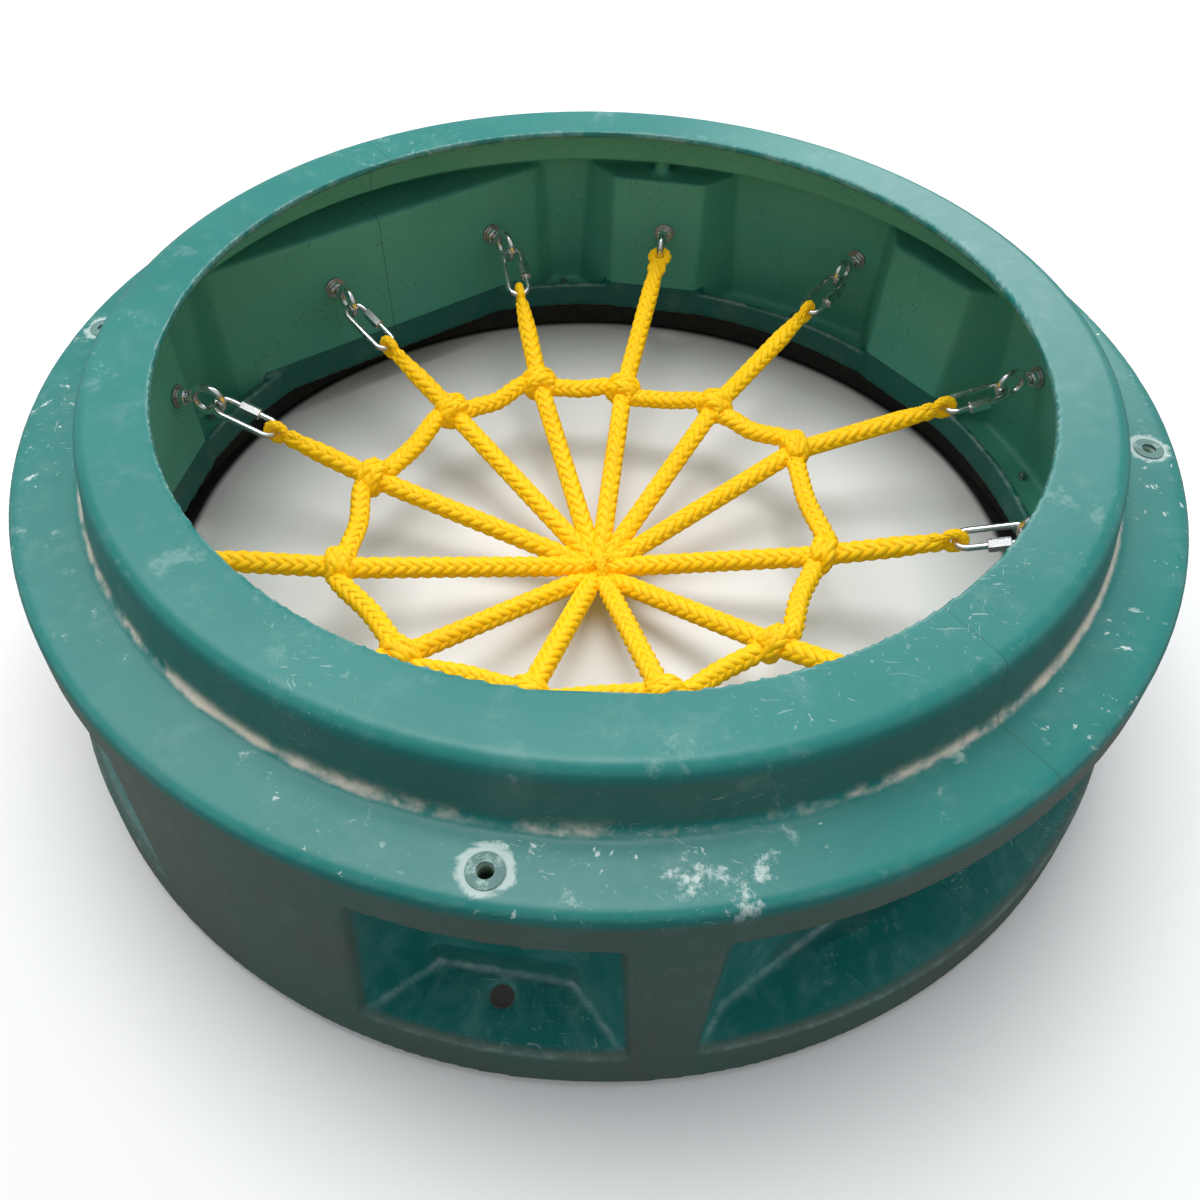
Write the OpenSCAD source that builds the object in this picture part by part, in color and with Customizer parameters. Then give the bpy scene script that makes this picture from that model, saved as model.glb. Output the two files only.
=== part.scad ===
// Net merry-go-round: a moulded plastic drum with a rope net hung inside it,
// turning on a ball race that stands on the ground.
// Origin: centre of the race's underside, on the ground. +Z up.

/* [Drum] */
// Outer radius of the drum at the shelf
shelf_r = 600; // [480:10:760]
// Outer radius of the drum at the foot of its skirt
skirt_r = 623; // [500:1:790]
// Height of the drum, from the foot of its skirt to the top of its rim
drum_h = 370; // [300:5:480]
// Radius of the opening in the top rim
rim_bore_r = 450; // [340:5:600]
// Radius of the rim at its top edge
rim_r = 521; // [410:1:680]
// Radius at the foot of the step between rim and shelf
step_r = 532; // [420:1:690]
// Height of the step between rim and shelf
step_h = 66; // [40:1:90]
// Rounding of the rim's outer edge
rim_round = 12; // [4:1:16]
// Rounding of the shelf's outer edge
shelf_round = 9; // [3:1:12]
// Thickness of the moulded wall
wall_t = 9; // [6:0.5:12]
// Depth of the recess under the drum, inside the skirt
recess_h = 46; // [40:1:60]
// Thickness of the skirt at its foot
skirt_t = 9; // [6:0.5:12]
// Inner radius of the band round the foot of the opening
band_r = 543; // [420:1:700]
// Height of the band above the underside of the floor plate
band_h = 38; // [20:1:60]

/* [Pockets] */
// Bearing of the first pocket
first_pocket = 37.5; // [30:0.5:45]
// Distance of a narrow pocket's back wall from the axis
narrow_back = 546; // [430:1:700]
// Width of a narrow pocket at its back wall
narrow_back_w = 124; // [90:2:150]
// Width of a narrow pocket at its mouth
narrow_mouth_w = 248; // [160:2:270]
// Distance of a wide pocket's back wall from the axis
wide_back = 523; // [410:1:680]
// Width of a wide pocket at its back wall
wide_back_w = 500; // [400:5:520]
// Width of a wide pocket at its mouth
wide_mouth_w = 590; // [460:5:600]
// Depth of the pockets' ceiling below the shelf
pocket_drop = 51; // [36:1:70]

/* [Drain tubes] */
// Radius of the circle through the shelf holes
tube_circle_r = 569; // [455:1:725]
// Bore of the moulded tube under each shelf hole
tube_bore = 14; // [10:1:18]
// Outside diameter of the moulded tube
tube_d = 24; // [18:1:30]
// Diameter of the hole in a pocket's floor
floor_hole_d = 22; // [14:1:26]
// Diameter of the washer round a shelf hole
shelf_washer_d = 30; // [24:1:36]
// Thickness of the washer round a shelf hole
shelf_washer_t = 2; // [1:0.5:3]

/* [Eye bolts] */
// Height of the eye bolts above the foot of the skirt
eye_h = 184; // [150:1:230]
// Diameter of the bolt
bolt_d = 12; // [10:1:14]
// Diameter of the eye's wire
eye_wire_d = 10; // [8:1:12]
// Inside diameter of the eye
eye_bore_d = 26; // [24:1:30]
// Distance from the wall's inner face to the centre of the eye
eye_stand = 40; // [38:1:56]
// Width across flats of the nuts
nut_af = 19; // [16:1:22]
// Thickness of the nut inside the drum
nut_t = 10; // [6:1:12]
// Thickness of the lock nut outside the drum
lock_nut_t = 12; // [8:1:16]
// Diameter of the steel washers
washer_d = 28; // [24:1:30]
// Thickness of the steel washers
washer_t = 2.5; // [1.5:0.5:4]
// Diameter of the rubber washers
rubber_d = 32; // [26:1:32]
// Thickness of the rubber washers
rubber_t = 5; // [3:0.5:7]
// Length of bolt beyond the lock nut
bolt_end = 5; // [2:1:10]

/* [Quick links] */
// Diameter of the link's wire
link_wire_d = 8; // [6:0.5:9]
// Inside width of the link
link_gap_w = 20; // [18:1:26]
// Overall length of the link
link_l = 88; // [80:1:110]
// Width across flats of the sleeve nut
sleeve_af = 14; // [12:0.5:16]
// Length of the sleeve nut
sleeve_l = 26; // [20:1:32]
// Length of the opening in the link, under the sleeve nut
link_mouth = 11; // [8:1:14]
// Clearance between the sleeve nut and the link's wire
sleeve_clear = 0.3; // [0.2:0.1:0.5]

/* [Net] */
// Diameter of the rope
rope_d = 26; // [20:1:28]
// Diameter of the rope where it parts to form its eye
strand_d = 12; // [10:1:13]
// Radius of the rope's eye, to the middle of the strand
rope_eye_r = 11.5; // [11.5:0.5:14]
// Mean radius of the ring of rope
ring_r = 280; // [240:2:320]
// Height of the ring of rope above the foot of the skirt
ring_h = 100; // [80:1:150]
// Diameter of the rope in the knots of the ring
knot_wire_d = 22; // [16:1:24]
// Clearance of the spoke in its knot
knot_clear = 1.4; // [0.8:0.1:2]
// Distance of the net's middle from the drum's axis
hub_shift = 22; // [0:1:30]
// Radius of the bound middle of the net
hub_r = 66; // [58:1:80]
// Height of the middle of the net above the foot of the skirt
hub_h = 34; // [30:1:60]
// Thickness of the bound middle of the net
hub_t = 36; // [24:1:40]
// Clearance between the spokes and the bound middle
hub_clear = 0.5; // [0.3:0.1:0.8]
// Clearance between a link and the eye or rope that it holds
link_clear = 0.4; // [0.3:0.1:0.6]

/* [Ball race] */
// Radius of the circle of balls
race_r = 594; // [470:1:756]
// Diameter of a ball
ball_d = 16; // [14:1:18]
// Number of balls
ball_count = 36; // [24:1:48]
// Height of the drum's skirt above the ground
ground_clear = 8; // [6:1:12]
// Thickness of the race flanges
flange_t = 6; // [5:1:8]
// Thickness of the race webs
web_t = 9; // [7:1:10]
// Gap from the balls' centre circle to each web
web_gap = 5; // [4:0.5:6]
// Clearance of a ball in its grooves
ball_clear = 0.2; // [0.1:0.05:0.3]
// Thickness of the cage that spaces the balls
cage_t = 3; // [2:0.5:4]
// Height of the cage
cage_h = 18; // [14:1:22]
// Diameter of the anchor holes
anchor_d = 11; // [9:1:13]
// Number of anchor holes
anchor_count = 8; // [4:1:12]
// Diameter of the bolts that hold the race to the drum
race_bolt_d = 6; // [5:1:6]
// Width across flats of the race bolts' heads and nuts
race_bolt_af = 10; // [8:1:10]

/* [Hidden] */

$fn = 48;
big_fn = 180;

// Bearing of each spoke, clear of the pockets' corners
spoke_at = [168, 138, 107, 81, 52.5, 20, -9, -42, -73, -102.5, -138, -164];
// Bearing of each knot, and how far outside the ring's mean radius it is pulled
knot_bearing = [168, 136, 109, 84, 56, 29, -10, -43, -74, -105, -134, -163];
knot_out = [14, 2, -3, -26, -9, 9, -8, -7, -10, -5, 25, 36];
// The spoke whose rope is tied straight into its eye bolt, with no link
no_link = 3;
// How far each sleeve nut is screwed back from closed
sleeve_back = [0, 7, 0, 0, 0, 0, 7, 0, 0, 0, 0, 0];
// Bearings of the bolts between race and drum, in the gaps between pockets
race_bolt_at = [15, 60, 97, 158, 195, 240, 277, 338];

// Levels above the ground
skirt_z = ground_clear;
rim_z = skirt_z + drum_h;
shelf_z = rim_z - step_h;
plate_z = skirt_z + recess_h;
floor_z = plate_z + wall_t;
ceiling_z = shelf_z - pocket_drop;
eye_z = skirt_z + eye_h;
ring_z = skirt_z + ring_h;
hub_z = skirt_z + hub_h;
spoke_end_z = hub_z + 8;
ball_z = plate_z / 2 + 1;

// The drum's outer wall leans out towards its foot
cone_top_z = shelf_z - shelf_round;
lean = (skirt_r - shelf_r) / (cone_top_z - skirt_z);
draft = atan(lean);
function wall_r(z) = shelf_r + lean * (cone_top_z - z);

// Race sections
web_in_r = race_r - web_gap - web_t;
web_out_r = race_r + web_gap + web_t;
seal_gap = 0.4;
race_nut_t = 5;
race_washer_t = 1.6;
anchor_r = race_r + web_gap - 1;
race_bolt_r = race_r - 1.5;
fit = 0.2;
over = 1;
side = 60;

// Link and rope places, measured from the side of the eye that they pull on
eye_r = (eye_bore_d + eye_wire_d) / 2;
hang = 24;
link_half = (link_gap_w + link_wire_d) / 2;
link_in = -(eye_wire_d + link_wire_d) / 2 - link_clear;
link_out = link_in + link_l - link_wire_d;
leg_l = link_out - link_in - 2 * link_half;

// Points of an arc, for rounding a corner of an outline
function arc(x, y, r, from, to, steps = 6) =
    [for (i = [0 : steps]) let (a = from + (to - from) * i / steps) [x + r * cos(a), y + r * sin(a)]];

// Pockets: their bearings, and which are wide or have a tube above
function pocket_bearing(k) = first_pocket + 45 * k;
function is_wide(k) = k % 4 == 2;
function has_tube(k) = k % 2 == 1;

// Half of a pocket's plan, grown outwards by g, from its back wall to its mouth
function pocket_half(back, back_w, mouth_w, g) =
    let (
        mouth = sqrt(pow(wall_r(floor_z), 2) - pow(mouth_w / 2, 2)),
        run = mouth - back,
        rise = (mouth_w - back_w) / 2,
        len = norm([run, rise]),
        c = run / len,
        s = rise / len
    )
    [
        [back - g, back_w / 2 + g * (1 - s) / c],
        [mouth, mouth_w / 2 + g / c],
        [skirt_r + side, mouth_w / 2 + g / c]
    ];

module pocket(k, g = 0) {
    half = is_wide(k)
        ? pocket_half(wide_back, wide_back_w, wide_mouth_w, g)
        : pocket_half(narrow_back, narrow_back_w, narrow_mouth_w, g);
    plan = [half[0], half[1], half[2],
            [half[2].x, -half[2].y], [half[1].x, -half[1].y], [half[0].x, -half[0].y]];
    rotate(pocket_bearing(k))
        translate([0, 0, floor_z - g])
            linear_extrude(ceiling_z - floor_z + 2 * g)
                polygon(plan);
}

// Where an eye bolt goes through the wall:
// [bearing of the wall's normal, distance from the axis, sideways shift, lean]
function seat(a) =
    let (
        k = round((a - first_pocket) / 45),
        centre = first_pocket + 45 * k,
        d = a - centre,
        wide = is_wide((k + 8) % 8),
        face = (wide ? wide_back : narrow_back) - wall_t,
        reach = wide ? 24 : 5.6
    )
    abs(d) < reach
        ? [centre, face, (face - eye_stand - eye_r * cos(hang)) * tan(d), 0]
        : [a, wall_r(eye_z) - wall_t / cos(draft), 0, draft];

// Radius and height of the middle of the eye's wire, where the spoke pulls on it
function eye_at(a) =
    let (
        s = seat(a),
        in_r = eye_r * cos(hang),
        in_z = eye_z - eye_r * sin(hang)
    )
    s[3] == 0
        ? [(s[1] - eye_stand - in_r) / cos(a - s[0]), in_z]
        : [s[1] - eye_stand * cos(draft) - in_r, in_z - eye_stand * sin(draft)];

// Points of spoke k: on its eye, in its knot and in the middle of the net
function eye_point(k) =
    let (a = spoke_at[k], e = eye_at(a))
    [e[0] * cos(a), e[0] * sin(a), e[1]];
function knot_point(k) =
    let (a = knot_bearing[k % 12], r = ring_r + knot_out[k % 12])
    [r * cos(a), r * sin(a), ring_z];
function middle_point(k) =
    let (
        p = knot_point(k),
        far = norm([p.x, p.y + hub_shift]),
        rise = (ring_z - spoke_end_z) / (far - hub_r)
    )
    [0, -hub_shift, spoke_end_z - rise * hub_r];

// Turn that lays +X along a vector
function aim(d) = [0, -atan2(d.z, norm([d.x, d.y])), atan2(d.y, d.x)];
function unit(d) = d / norm(d);

// Moves to the wall's inner face at an eye bolt, with +X along the bolt to the outside
module on_seat(a) {
    s = seat(a);
    rotate(s[0])
        translate([s[1], s[2], eye_z])
            rotate([0, -s[3], 0])
                children();
}

// Moves to where spoke k pulls on its eye, with +X along the spoke towards its knot
module on_eye(k) {
    translate(eye_point(k))
        rotate(aim(knot_point(k) - eye_point(k)))
            children();
}

module along_x(x = 0) {
    translate([x, 0, 0])
        rotate([0, 90, 0])
            children();
}

module tube(d, bore, h) {
    difference() {
        cylinder(d = d, h = h);
        translate([0, 0, -over]) cylinder(d = bore, h = h + 2 * over);
    }
}

module hex_nut(af, bore, h) {
    difference() {
        cylinder(d = af / cos(30), h = h, $fn = 6);
        translate([0, 0, -over]) cylinder(d = bore, h = h + 2 * over);
    }
}

// A round rod between two points
module rod(p, q, r) {
    translate(p)
        rotate(aim(q - p))
            along_x() cylinder(r = r, h = norm(q - p));
}

// A ring of round section lying flat
module ring(r, wire_r) {
    rotate_extrude($fn = 64) translate([r, 0]) circle(r = wire_r, $fn = 32);
}

// ---- Drum ----

drum_outline = concat(
    [[rim_bore_r, plate_z], [wall_r(plate_z) - skirt_t, plate_z], [skirt_r - skirt_t, skirt_z],
     [skirt_r, skirt_z]],
    arc(shelf_r - shelf_round, cone_top_z, shelf_round, 0, 90),
    [[step_r, shelf_z]],
    arc(rim_r - rim_round, rim_z - rim_round, rim_round, 0, 90),
    [[rim_bore_r, rim_z]]
);

hollow_outline = [
    [rim_bore_r - over, plate_z - over],
    [band_r, plate_z - over],
    [band_r, plate_z + band_h],
    [band_r + wall_t, plate_z + band_h],
    [band_r + wall_t, floor_z],
    [wall_r(floor_z) - wall_t, floor_z],
    [shelf_r - wall_t, cone_top_z],
    [shelf_r - wall_t - 3, shelf_z - wall_t],
    [step_r - wall_t, shelf_z - wall_t],
    [rim_r - wall_t, rim_z - wall_t - 3],
    [rim_r - wall_t - 3, rim_z - wall_t],
    [rim_bore_r - over, rim_z - wall_t]
];

module drum_hollow() {
    difference() {
        rotate_extrude($fn = big_fn) polygon(hollow_outline);
        for (k = [0 : 7])
            pocket(k, wall_t);
        for (k = [0 : 7])
            if (has_tube(k))
                rotate(pocket_bearing(k))
                    translate([tube_circle_r, 0, ceiling_z])
                        cylinder(d = tube_d, h = shelf_z - ceiling_z);
    }
}

module drum_shell() {
    color("#1f7f70")
    difference() {
        rotate_extrude($fn = big_fn) polygon(drum_outline);
        for (k = [0 : 7])
            pocket(k);
        drum_hollow();
        for (k = [0 : 7])
            if (has_tube(k))
                rotate(pocket_bearing(k))
                    translate([tube_circle_r, 0, 0]) {
                        translate([0, 0, ceiling_z - over])
                            cylinder(d = tube_bore, h = shelf_z - ceiling_z + 2 * over);
                        translate([0, 0, shelf_z - shelf_washer_t / 2])
                            cylinder(d = shelf_washer_d + 2 * fit, h = shelf_washer_t);
                        translate([0, 0, plate_z - over])
                            cylinder(d = floor_hole_d, h = wall_t + 2 * over);
                    }
        for (a = spoke_at)
            on_seat(a)
                along_x(-2 * wall_t)
                    cylinder(d = bolt_d + 1, h = 4 * wall_t);
        for (a = race_bolt_at)
            rotate(a)
                translate([race_bolt_r, 0, plate_z - over])
                    cylinder(d = race_bolt_d + 1, h = wall_t + 2 * over);
    }
}

module shelf_washers() {
    color("#8d9694")
    for (k = [0 : 7])
        if (has_tube(k))
            rotate(pocket_bearing(k))
                translate([tube_circle_r, 0, shelf_z - shelf_washer_t / 2])
                    tube(shelf_washer_d, tube_bore, shelf_washer_t);
}

// ---- Eye bolts and their nuts ----

outside = wall_t + 0.3;
nut_seat = -washer_t - 0.3;

module eye_bolts() {
    color("#c9ccd0")
    for (a = spoke_at)
        on_seat(a) {
            translate([-eye_stand, 0, 0]) rotate([90, 0, 0]) ring(eye_r, eye_wire_d / 2);
            along_x(-eye_stand + eye_r)
                cylinder(d = bolt_d, h = eye_stand - eye_r + outside + rubber_t + washer_t
                                         + lock_nut_t + bolt_end);
        }
}

module wall_nuts() {
    color("#b9bcc0")
    for (a = spoke_at)
        on_seat(a)
            along_x(nut_seat - nut_t)
                hex_nut(nut_af, bolt_d + 2 * fit, nut_t);
}

module lock_nuts() {
    color("#c4c7ca")
    for (a = spoke_at)
        on_seat(a)
            along_x(outside + rubber_t + washer_t)
                hex_nut(nut_af, bolt_d + 2 * fit, lock_nut_t);
}

module steel_washers() {
    color("#aeb2b6")
    for (a = spoke_at)
        on_seat(a) {
            along_x(nut_seat) tube(washer_d, bolt_d + 2 * fit, washer_t);
            along_x(outside + rubber_t) tube(washer_d, bolt_d + 2 * fit, washer_t);
        }
}

module rubber_washers() {
    color("#18191a")
    for (a = spoke_at)
        on_seat(a)
            along_x(outside) tube(rubber_d, bolt_d + 2 * fit, rubber_t);
}

// ---- Quick links ----

module half_ring(r, wire_r) {
    rotate_extrude(angle = 180, $fn = 64) translate([r, 0]) circle(r = wire_r, $fn = 32);
}

module quick_link(k) {
    start = link_in + link_half;
    part_l = (leg_l - link_mouth) / 2;
    color("#c6c9cd")
    on_eye(k) {
        translate([start, 0, 0]) rotate(90) half_ring(link_half, link_wire_d / 2);
        translate([start + leg_l, 0, 0]) rotate(-90) half_ring(link_half, link_wire_d / 2);
        translate([0, -link_half, 0]) along_x(start) cylinder(d = link_wire_d, h = leg_l);
        translate([0, link_half, 0]) along_x(start) cylinder(d = link_wire_d, h = part_l);
        translate([0, link_half, 0])
            along_x(start + leg_l - part_l) cylinder(d = link_wire_d, h = part_l);
    }
}

module link_sleeve(k) {
    start = link_in + link_half + (leg_l - sleeve_l) / 2 - sleeve_back[k];
    color("#d3d5d8")
    on_eye(k)
        translate([0, link_half, 0])
            along_x(start) hex_nut(sleeve_af, link_wire_d + 2 * sleeve_clear, sleeve_l);
}

// ---- Rope net ----

// How much a spoke swells where it bends in its knot
bend = 0.4;

module spoke_rope(k) {
    linked = k != no_link;
    held_r = (linked ? link_wire_d : eye_wire_d) / 2;
    held_at = linked ? link_out : 0;
    loop_at = held_at - held_r - link_clear - strand_d / 2 + rope_eye_r;
    rope_from = loop_at + rope_eye_r + strand_d / 4;
    rope_to = norm(knot_point(k) - eye_point(k));
    color("#f2c200")
    difference() {
        union() {
            on_eye(k) {
                translate([loop_at, 0, 0])
                    rotate([linked ? 90 : 0, 0, 0]) ring(rope_eye_r, strand_d / 2);
                along_x(rope_from) cylinder(d = rope_d, h = rope_to - rope_from);
                along_x(rope_to) sphere(r = rope_d / 2 + bend);
            }
            rod(middle_point(k), knot_point(k), rope_d / 2);
        }
        translate([0, -hub_shift, 0]) cylinder(r = hub_r + hub_clear, h = ring_z);
    }
}

knot_r = rope_d / 2 + knot_clear + knot_wire_d / 2;

module ring_rope() {
    color("#f2c200") {
        for (k = [0 : 11]) {
            outer = unit(knot_point(k) - eye_point(k));
            inner = unit(middle_point(k) - knot_point(k));
            translate(knot_point(k))
                rotate(aim(outer + inner))
                    rotate([0, 90, 0]) ring(knot_r, knot_wire_d / 2);
        }
        for (k = [0 : 11]) {
            d = knot_point(k + 1) - knot_point(k);
            translate(knot_point(k))
                rotate(aim(d))
                    along_x(knot_r) cylinder(d = rope_d - 2, h = norm(d) - 2 * knot_r);
        }
    }
}

module net_middle() {
    round_r = hub_t / 4;
    color("#e9b800")
    translate([0, -hub_shift, 0])
        rotate_extrude($fn = 72)
            polygon(concat(
                [[0, hub_z - hub_t / 2]],
                arc(hub_r - round_r, hub_z - hub_t / 2 + round_r, round_r, -90, 0, 4),
                arc(hub_r - round_r, hub_z + hub_t / 2 - round_r, round_r, 0, 90, 4),
                [[0, hub_z + hub_t / 2]]
            ));
}

// ---- Ball race ----

module ball_groove() {
    translate([0, 0, ball_z])
        rotate_extrude($fn = big_fn) translate([race_r, 0]) circle(r = ball_d / 2 + ball_clear);
}

module upper_race() {
    color("#3b3f42")
    difference() {
        rotate_extrude($fn = big_fn)
            polygon([
                [web_out_r, plate_z], [web_in_r, plate_z], [web_in_r, plate_z - flange_t],
                [web_out_r - web_t, plate_z - flange_t], [web_out_r - web_t, ball_z - ball_d / 2 - 2],
                [web_out_r, ball_z - ball_d / 2 - 2]
            ]);
        ball_groove();
        for (a = race_bolt_at)
            rotate(a)
                translate([race_bolt_r, 0, plate_z - flange_t - over])
                    cylinder(d = race_bolt_d + 1, h = flange_t + 2 * over);
    }
}

module lower_race() {
    top = plate_z - flange_t - 8;
    color("#3b3f42")
    difference() {
        rotate_extrude($fn = big_fn)
            polygon([
                [web_in_r, 0], [web_out_r, 0], [web_out_r, flange_t],
                [web_in_r + web_t, flange_t], [web_in_r + web_t, top], [web_in_r, top]
            ]);
        ball_groove();
        for (i = [0 : anchor_count - 1])
            rotate(360 * (i + 0.5) / anchor_count)
                translate([anchor_r, 0, -over])
                    cylinder(d = anchor_d, h = flange_t + 2 * over);
    }
}

module race_balls() {
    color("#d0d2d4")
    for (i = [0 : ball_count - 1])
        rotate(360 * i / ball_count)
            translate([race_r, 0, ball_z]) sphere(d = ball_d);
}

module ball_cage() {
    color("#b08a3c")
    difference() {
        translate([0, 0, ball_z - cage_h / 2])
            difference() {
                cylinder(r = race_r + cage_t / 2, h = cage_h, $fn = big_fn);
                translate([0, 0, -over])
                    cylinder(r = race_r - cage_t / 2, h = cage_h + 2 * over, $fn = big_fn);
            }
        for (i = [0 : ball_count - 1])
            rotate(360 * i / ball_count)
                translate([0, 0, ball_z]) along_x(race_r - 2 * cage_t)
                    cylinder(d = ball_d + 2 * fit, h = 4 * cage_t);
    }
}

module race_seal() {
    bottom = plate_z - flange_t - 8 + seal_gap;
    color("#151617")
    rotate_extrude($fn = big_fn)
        translate([web_in_r + 1, bottom])
            square([web_t - 4, 8 - seal_gap]);
}

module race_bolts() {
    color("#b4b7ba")
    for (a = race_bolt_at)
        rotate(a)
            translate([race_bolt_r, 0, plate_z - flange_t]) {
                translate([0, 0, -4]) cylinder(d = race_bolt_af / cos(30), h = 4, $fn = 6);
                cylinder(d = race_bolt_d, h = flange_t + wall_t + race_washer_t + race_nut_t + 3);
            }
}

module race_washers() {
    color("#aeb2b6")
    for (a = race_bolt_at)
        rotate(a)
            translate([race_bolt_r, 0, floor_z])
                tube(12, race_bolt_d + 2 * fit, race_washer_t);
}

module race_nuts() {
    color("#b4b7ba")
    for (a = race_bolt_at)
        rotate(a)
            translate([race_bolt_r, 0, floor_z + race_washer_t])
                hex_nut(race_bolt_af, race_bolt_d + 2 * fit, race_nut_t);
}

drum_shell();
shelf_washers();
eye_bolts();
wall_nuts();
lock_nuts();
steel_washers();
rubber_washers();
spoke_rope(0);  // spoke_rope_01
spoke_rope(1);  // spoke_rope_02
spoke_rope(2);  // spoke_rope_03
spoke_rope(3);  // spoke_rope_04
spoke_rope(4);  // spoke_rope_05
spoke_rope(5);  // spoke_rope_06
spoke_rope(6);  // spoke_rope_07
spoke_rope(7);  // spoke_rope_08
spoke_rope(8);  // spoke_rope_09
spoke_rope(9);  // spoke_rope_10
spoke_rope(10);  // spoke_rope_11
spoke_rope(11);  // spoke_rope_12
quick_link(0);  // quick_link_01
quick_link(1);  // quick_link_02
quick_link(2);  // quick_link_03
quick_link(4);  // quick_link_05
quick_link(5);  // quick_link_06
quick_link(6);  // quick_link_07
quick_link(7);  // quick_link_08
quick_link(8);  // quick_link_09
quick_link(9);  // quick_link_10
quick_link(10);  // quick_link_11
quick_link(11);  // quick_link_12
link_sleeve(0);  // link_sleeve_01
link_sleeve(1);  // link_sleeve_02
link_sleeve(2);  // link_sleeve_03
link_sleeve(4);  // link_sleeve_05
link_sleeve(5);  // link_sleeve_06
link_sleeve(6);  // link_sleeve_07
link_sleeve(7);  // link_sleeve_08
link_sleeve(8);  // link_sleeve_09
link_sleeve(9);  // link_sleeve_10
link_sleeve(10);  // link_sleeve_11
link_sleeve(11);  // link_sleeve_12
ring_rope();
net_middle();
upper_race();
lower_race();
race_balls();
ball_cage();
race_seal();
race_bolts();
race_nuts();
race_washers();
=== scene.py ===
import math
import bpy
import numpy as np
from mathutils import Matrix, Vector


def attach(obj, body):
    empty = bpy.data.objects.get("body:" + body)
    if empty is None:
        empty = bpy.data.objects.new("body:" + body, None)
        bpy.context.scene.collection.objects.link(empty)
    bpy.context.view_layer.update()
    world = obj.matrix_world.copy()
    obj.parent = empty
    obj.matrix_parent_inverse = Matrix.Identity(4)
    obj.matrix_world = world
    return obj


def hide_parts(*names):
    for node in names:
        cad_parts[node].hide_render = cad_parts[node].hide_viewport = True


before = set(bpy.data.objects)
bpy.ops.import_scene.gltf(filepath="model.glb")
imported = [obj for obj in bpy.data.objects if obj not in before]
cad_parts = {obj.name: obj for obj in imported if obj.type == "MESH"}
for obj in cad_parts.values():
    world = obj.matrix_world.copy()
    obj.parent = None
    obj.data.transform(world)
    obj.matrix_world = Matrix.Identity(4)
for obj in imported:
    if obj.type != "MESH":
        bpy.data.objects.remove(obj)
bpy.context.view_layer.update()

# places of the drum, the eye bolts and the net, in millimetres as in the CAD
place = dict(
    shelfR=600.0, skirtR=623.0, rimR=521.0, stepR=532.0, drumH=370.0, stepH=66.0, ground=8.0,
    wall=9.0, recess=46.0, bevel=9.0, wellR=456.0, bandR=556.0, bandHeight=44.0,
    firstPocket=37.5, pocketTurn=45.0, ceilingDrop=51.0, tubeR=569.0,
    narrowBack=546.0, narrowBackHalf=62.0, narrowMouthHalf=124.0, narrowSeat=5.6,
    wideBack=523.0, wideBackHalf=250.0, wideMouthHalf=295.0, wideSeat=24.0,
    eyeHeight=184.0, eyeStand=40.0, eyeR=18.0, eyeWire=10.0, hang=24.0,
    ringR=280.0, ringHeight=100.0, middleHeight=34.0, middleLift=8.0, middleR=66.0, middleShift=22.0,
    linkIn=-9.4, linkLength=88.0, linkWire=8.0, linkHalf=14.0,
    strandD=12.0, loopR=11.5, loopGap=0.4,
)
millimetre = 0.001
spokeAt = [168, 138, 107, 81, 52.5, 20, -9, -42, -73, -102.5, -138, -164]
knotBearing = [168, 136, 109, 84, 56, 29, -10, -43, -74, -105, -134, -163]
knotOut = [14, 2, -3, -26, -9, 9, -8, -7, -10, -5, 25, 36]
noLink = 3
sleeveBack = [0, 7, 0, 0, 0, 0, 7, 0, 0, 0, 0, 0]

rimZ = place["ground"] + place["drumH"]
shelfZ = rimZ - place["stepH"]
plateZ = place["ground"] + place["recess"]
floorZ = plateZ + place["wall"]
ceilingZ = shelfZ - place["ceilingDrop"]
eyeZ = place["ground"] + place["eyeHeight"]
ringZ = place["ground"] + place["ringHeight"]
middleZ = place["ground"] + place["middleHeight"] + place["middleLift"]
coneTop = shelfZ - place["bevel"]
lean = (place["skirtR"] - place["shelfR"]) / (coneTop - place["ground"])
draft = math.atan(lean)


def wallRadius(z):
    return place["shelfR"] + lean * (coneTop - z)


# where a bolt sits: the wall's bearing and radius, the shift along it and its tilt
def seatOf(bearing):
    pocket = round((bearing - place["firstPocket"]) / place["pocketTurn"])
    centre = place["firstPocket"] + place["pocketTurn"] * pocket
    off = bearing - centre
    wide = (pocket + 8) % 4 == 2
    face = (place["wideBack"] if wide else place["narrowBack"]) - place["wall"]
    if abs(off) < (place["wideSeat"] if wide else place["narrowSeat"]):
        inward = face - place["eyeStand"] - place["eyeR"] * math.cos(math.radians(place["hang"]))
        return centre, face, inward * math.tan(math.radians(off)), 0.0
    return bearing, wallRadius(eyeZ) - place["wall"] / math.cos(draft), 0.0, draft


# turns a seat on the drum's inner wall into a matrix with +X going outwards along the bolt
def seatMatrix(bearing):
    turn, face, shift, tilt = seatOf(bearing)
    return (Matrix.Rotation(math.radians(turn), 4, "Z") @ Matrix.Translation((face, shift, eyeZ))
            @ Matrix.Rotation(-tilt, 4, "Y"))


def eyePoint(k):
    bearing = spokeAt[k]
    turn, face, shift, tilt = seatOf(bearing)
    inR = place["eyeR"] * math.cos(math.radians(place["hang"]))
    inZ = eyeZ - place["eyeR"] * math.sin(math.radians(place["hang"]))
    if tilt == 0:
        r = (face - place["eyeStand"] - inR) / math.cos(math.radians(bearing - turn))
    else:
        r = face - place["eyeStand"] * math.cos(draft) - inR
        inZ -= place["eyeStand"] * math.sin(draft)
    a = math.radians(bearing)
    return Vector((r * math.cos(a), r * math.sin(a), inZ))


def knotPoint(k):
    a = math.radians(knotBearing[k % 12])
    r = place["ringR"] + knotOut[k % 12]
    return Vector((r * math.cos(a), r * math.sin(a), ringZ))


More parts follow.
